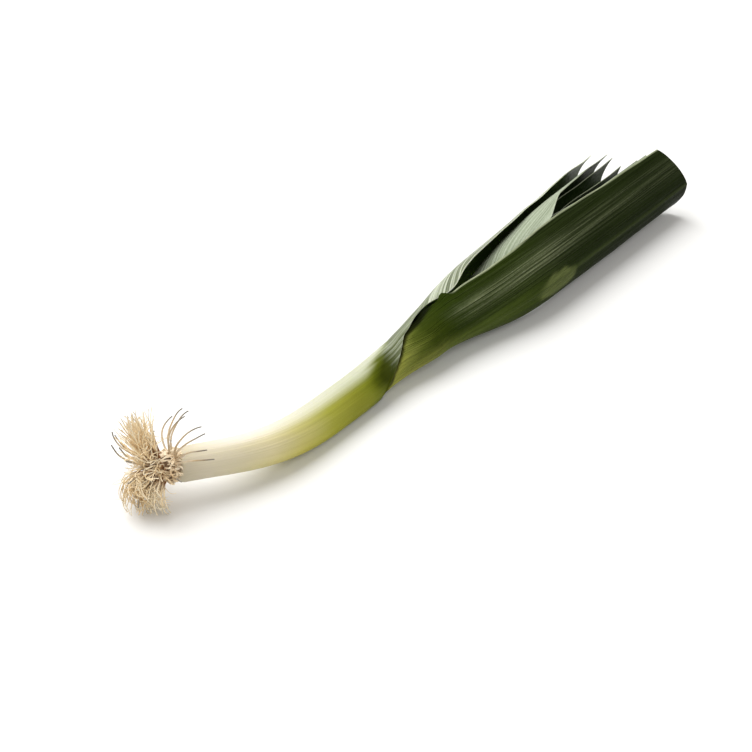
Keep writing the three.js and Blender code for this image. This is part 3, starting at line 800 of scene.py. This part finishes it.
first = np.radians(by_lock(-24, 48) + by_lock(74, 24) * share)
last = by_lock(132, 82) - 52 * (1 - upper) * share + rng.uniform(-1, 1, count) * by_lock(46, 26)
last = np.radians(last + np.where(number % 10 == 4, 34, 0))
length = rng.uniform(38, 57, count) * (1 - 0.2 * np.abs(np.sin(round_angle - LOCK_ANGLE)))
length = length * (0.78 - 0.04 * upper) * (1 - 0.22 * share * (1 - upper))
start_s = by_lock(-27, -22) + by_lock(14, 7) * share + rng.uniform(-1, 1, count)
start_radius = 3.0 + 5.6 * share
STEPS = 14
curl = rng.uniform(0.06, 0.32, count) * (2.5 - 1.7 * upper)
main = root_lines(round_angle, start_s, start_radius, length, first, last, curl, STEPS, rng)
taper = 1 - 0.45 * np.linspace(0, 1, STEPS + 1)[None, :]
main_radius = rng.uniform(0.44, 0.72, (count, 1)) * taper
main_tint = root_colours(count, STEPS + 1, rng, np.array([1.0, 0.91, 0.71]), 0.5)

# A few stray roots with grey tips bend back over the end of the shank, or stand out from the upper lock. Each
# row is an angle round the axis, the first and the last lean, a length and a station.
stray = np.array([
    [38, 78, 140, 30, -6], [58, 84, 150, 33, -4], [74, 88, 152, 33, -3], [90, 84, 140, 37, -5],
    [104, 92, 160, 36, -2], [118, 90, 152, 40, -2], [130, 96, 158, 34, -2], [8, 60, 120, 30, -8],
    [340, 66, 140, 32, -8], [160, 70, 120, 26, -6], [142, 110, 180, 34, -3], [62, 20, 82, 38, -18],
    [80, 12, 68, 35, -19], [98, 26, 70, 34, -18], [120, 40, 62, 30, -18], [150, 44, 50, 32, -18],
    [200, 36, 72, 30, -19], [30, 34, 76, 36, -19],
])
STRAY_RADIUS = 0.88
STRAY_CURL = 0.14
stray_angle, stray_first, stray_last = np.radians(stray[:, :3].T)
stray_out = np.interp(stray[:, 4], [-19, -9, -3], [4.5, 9.0, 11.5])
stray_lines = root_lines(
    stray_angle, stray[:, 4] - 4.0, stray_out, stray[:, 3], stray_first, stray_last,
    np.full(len(stray), STRAY_CURL), STEPS, rng)
stray_radius = np.full((len(stray), 1), STRAY_RADIUS) * taper
stray_tint = root_colours(len(stray), STEPS + 1, rng, np.array([0.62, 0.50, 0.34]), 1.0)
stray_along = np.linspace(0, 1, STEPS + 1) * np.ones((len(stray), 1))
stray_tint = mix(stray_tint, np.array([0.66, 0.55, 0.40]), 1 - ramp(stray_along, 0.35, 0.6))
stray_tint = mix(stray_tint, np.array([0.20, 0.18, 0.15]), ramp(stray_along, 0.55, 0.95))

# Finer rootlets leave the main roots part of the way along and curl more.
TWIGS = 260
twigs = rng.integers(0, count, TWIGS)
from_step = rng.integers(3, STEPS - 2, TWIGS)
TWIG_STEPS = 7
origin = main[twigs, from_step]
direction = main[twigs, from_step + 1] - main[twigs, from_step]
direction = direction / (np.linalg.norm(direction, axis=-1, keepdims=True) + 1e-9)
direction = direction + rng.normal(0, 0.3, (TWIGS, 3))
curl_axis = rng.normal(0, 1, (TWIGS, 3))
curl_axis /= np.linalg.norm(curl_axis, axis=-1, keepdims=True)
along = np.arange(1, TWIG_STEPS + 1)[None, :, None] / TWIG_STEPS
turn = rng.uniform(0.6, 2.6, (TWIGS, 1, 1)) * along
ahead = direction[:, None, :] * np.cos(turn) + np.cross(curl_axis, direction)[:, None, :] * np.sin(turn)
twig_length = rng.uniform(6, 15, (TWIGS, 1, 1))
twig_run = np.cumsum(ahead * twig_length / TWIG_STEPS, axis=1)
twig = origin[:, None, :] + np.concatenate([np.zeros((TWIGS, 1, 3)), twig_run], axis=1)
twig[..., 2] = np.maximum(twig[..., 2], 0.25)
twig_radius = rng.uniform(0.17, 0.30, (TWIGS, 1)) * (1 - 0.5 * np.linspace(0, 1, TWIG_STEPS + 1)[None, :])
twig_tint = root_colours(TWIGS, TWIG_STEPS + 1, rng, np.array([0.95, 0.80, 0.56]), 0.5)
twig_tint = mix(twig_tint, np.array([0.92, 0.77, 0.53]), 0.7)

# Gnarled stubs crowd over the plate: short arcs that leave it and bend back to it. The plate's profile is
# given as stations and radii.
PLATE_TO = -5.2
plate_s = [-27.5, -27.0, -25.5, -22.0, -18.0, -13.0, -8.5, PLATE_TO]
plate_radius = [0.01, 2.2, 4.4, 6.4, 8.0, 9.3, 10.2, 10.4]
STUBS = 180
STUB_STEPS = 8
stub_s = rng.uniform(-20.0, -4.4, (STUBS, 1))
stub_turn = rng.uniform(0, 2 * math.pi, (STUBS, 1))
stub_way = rng.normal(0, 0.6, (STUBS, 1))
stub_reach = 0.5 * rng.uniform(4.5, 9.5, (STUBS, 1))
v = np.linspace(-1, 1, STUB_STEPS)[None, :]
bow = rng.uniform(-0.5, 0.5, (STUBS, 1)) * (1 - v * v)
s_line = stub_s + stub_reach * (v * np.cos(stub_way) + bow * np.sin(stub_way))
s_line = np.clip(s_line, -21.5, -3.6)
under = np.interp(s_line, plate_s, plate_radius)
turn_line = stub_turn + stub_reach * (v * np.sin(stub_way) - bow * np.cos(stub_way)) / np.maximum(under, 4)
lifted = under + 0.4 + rng.uniform(0.3, 2.6, (STUBS, 1)) * (1 - v * v) + 0.35 * np.sin(9 * v + stub_turn)


def at_root_end(s, radius, turn):
    """Places points at a radius and an angle round the axis, leaning as the shank's end does and, past it,
    up to 1.8 mm higher."""
    raised = 1.8 * ramp(-s, 4, 16)
    return place(s + end_lean(s, turn), radius * np.cos(turn), radius * np.sin(turn) + raised)


stub = at_root_end(s_line, lifted, turn_line) * 1000
stub_radius = rng.uniform(0.5, 0.95, (STUBS, 1)) * (0.85 + 0.25 * np.sin(5 * v + 3 * stub_way))
stub_shade = rng.uniform(0.84, 1.0, (STUBS, 1, 1)) * np.ones((STUBS, STUB_STEPS, 1))
stub_tint = np.array([1.0, 0.87, 0.66]) * stub_shade
stub_tint = mix(stub_tint, np.array([0.30, 0.16, 0.07]), 0.45 * np.abs(v) ** 3 * np.ones((STUBS, 1)))

roots = root_mesh("root_tangle", [
    (main, main_radius, 4, main_tint),
    (stray_lines, stray_radius, 5, stray_tint),
    (twig, twig_radius, 3, twig_tint),
    (stub, stub_radius, 5, stub_tint),
])


def fibre_skin(name, darker, roughness):
    """Dry root skin: its own tint with fine mottling that follows the object, and a slight roughness."""
    material = bpy.data.materials.new(name)
    material.use_nodes = True
    nodes, links = material.node_tree.nodes, material.node_tree.links
    shader = nodes["Principled BSDF"]
    where = nodes.new("ShaderNodeTexCoord")
    tint = nodes.new("ShaderNodeAttribute")
    tint.attribute_name = "tint"
    mottle = nodes.new("ShaderNodeTexNoise")
    mottle.inputs["Scale"].default_value = 420
    mottle.inputs["Detail"].default_value = 3
    patches = nodes.new("ShaderNodeTexNoise")
    patches.inputs["Scale"].default_value = 60
    patches.inputs["Detail"].default_value = 2
    dark = nodes.new("ShaderNodeMix")
    dark.data_type = "RGBA"
    dark.blend_type = "MULTIPLY"
    dark.inputs[7].default_value = darker
    span = nodes.new("ShaderNodeMapRange")
    span.inputs["From Min"].default_value = 0.70
    span.inputs["From Max"].default_value = 0.95
    both = nodes.new("ShaderNodeMath")
    both.operation = "MULTIPLY_ADD"
    both.inputs[1].default_value = 0.5
    bump = nodes.new("ShaderNodeBump")
    bump.inputs["Strength"].default_value = 0.6
    bump.inputs["Distance"].default_value = 0.0004
    links.new(where.outputs["Object"], mottle.inputs["Vector"])
    links.new(where.outputs["Object"], patches.inputs["Vector"])
    links.new(mottle.outputs["Fac"], both.inputs[0])
    links.new(patches.outputs["Fac"], both.inputs[2])
    links.new(both.outputs[0], span.inputs["Value"])
    links.new(span.outputs["Result"], dark.inputs[0])
    links.new(tint.outputs["Color"], dark.inputs[6])
    links.new(dark.outputs[2], shader.inputs["Base Color"])
    links.new(mottle.outputs["Fac"], bump.inputs["Height"])
    links.new(bump.outputs["Normal"], shader.inputs["Normal"])
    shader.inputs["Roughness"].default_value = roughness
    return material


give(roots, fibre_skin("root skin", (0.76, 0.66, 0.52, 1), 0.62), "root", "roots")

# The root plate
# The plate is the leek's short stem, a blunt brown cork cone on the end of the shank from which the roots
# grow. It is pitted and shows dark between them.

PLATE_COLUMNS = 49
profile_s = np.append(plate_s, PLATE_TO)
profile_radius = np.append(plate_radius, 0.01)
around = np.linspace(0, 2 * math.pi, PLATE_COLUMNS)
cork_s, cork_turn = np.meshgrid(profile_s, around, indexing="ij")
pits = 0.35 * np.sin(7 * cork_turn + 1.3 * cork_s) * np.sin(5 * cork_turn - 0.9 * cork_s)
cork_radius = profile_radius[:, None] + pits * (profile_radius[:, None] > 1)
cork = at_root_end(cork_s, cork_radius, cork_turn).reshape(-1, 3)
cork_faces = grid_faces(len(profile_s), PLATE_COLUMNS, 0, True).tolist()
cork_tint = mix(np.array([0.16, 0.075, 0.028]), np.array([0.62, 0.46, 0.30]), ramp(cork_s.ravel(), -15, -9))
cork_grain = np.stack([cork_turn.ravel(), cork_s.ravel() * 0.1], axis=1)
plate = make_mesh("root_plate", cork, cork_faces, cork_grain, cork_tint, np.zeros(len(cork)))
give(plate, fibre_skin("root cork", (0.35, 0.3, 0.25, 1), 0.8), "root", "roots")

# Floor, light and camera
# A plain pale surface under the leek, a broad soft key light from behind on the left, a weak fill, and a
# long lens looking down at the root end.

target = Vector((0.0458, -0.0002, 0.020))
ahead = Vector((0.6197, 0.5200, -0.5878)).normalized()

FLOOR = 4
floor_mesh = bpy.data.meshes.new("floor")
floor_corners = [(-FLOOR, -FLOOR, 0), (FLOOR, -FLOOR, 0), (FLOOR, FLOOR, 0), (-FLOOR, FLOOR, 0)]
floor_mesh.from_pydata(floor_corners, [], [(0, 1, 2, 3)])
floor = bpy.data.objects.new("floor", floor_mesh)
bpy.context.scene.collection.objects.link(floor)
paper = bpy.data.materials.new("paper")
paper.use_nodes = True
set_shader(paper, {"Base Color": (0.84, 0.84, 0.835, 1), "Roughness": 0.9, "Specular IOR Level": 0.1})
floor_mesh.materials.append(paper)


def soft_light(name, place_at, size, watts, aim):
    """A square area light at place_at that looks at aim."""
    data = bpy.data.lights.new(name, "AREA")
    data.shape = "SQUARE"
    data.size = size
    data.energy = watts
    lamp = bpy.data.objects.new(name, data)
    lamp.location = place_at
    lamp.rotation_euler = (Vector(aim) - Vector(place_at)).to_track_quat("-Z", "Y").to_euler()
    bpy.context.scene.collection.objects.link(lamp)


right = ahead.cross(Vector((0, 0, 1))).normalized()
away = Vector((ahead.x, ahead.y, 0)).normalized()
key_at = target - right * 0.72 + away * 0.58 + Vector((0, 0, 1.85))
fill_at = target + right * 1.2 - away * 1.3 + Vector((0, 0, 1.9))
soft_light("key", key_at, size=2.3, watts=65, aim=target)
soft_light("fill", fill_at, size=1.6, watts=20, aim=target)

sky = bpy.data.worlds.new("studio")
sky.use_nodes = True
sky.node_tree.nodes["Background"].inputs["Color"].default_value = (1, 0.96, 0.88, 1)
sky.node_tree.nodes["Background"].inputs["Strength"].default_value = 0.36
bpy.context.scene.world = sky
bpy.context.scene.view_settings.view_transform = "Standard"

# The focal length is in pixels of a picture 752 pixels wide. The distance is in metres.
PICTURE_WIDTH = 752
FOCAL_PIXELS = 1462
CAMERA_DISTANCE = 1.170
lens = bpy.data.cameras.new("camera")
lens.sensor_width = 36
lens.lens = FOCAL_PIXELS / PICTURE_WIDTH * lens.sensor_width
lens.clip_end = 20
camera = bpy.data.objects.new("camera", lens)
camera.location = target - ahead * CAMERA_DISTANCE
camera.rotation_euler = ahead.to_track_quat("-Z", "Y").to_euler()
bpy.context.scene.collection.objects.link(camera)
bpy.context.scene.camera = camera
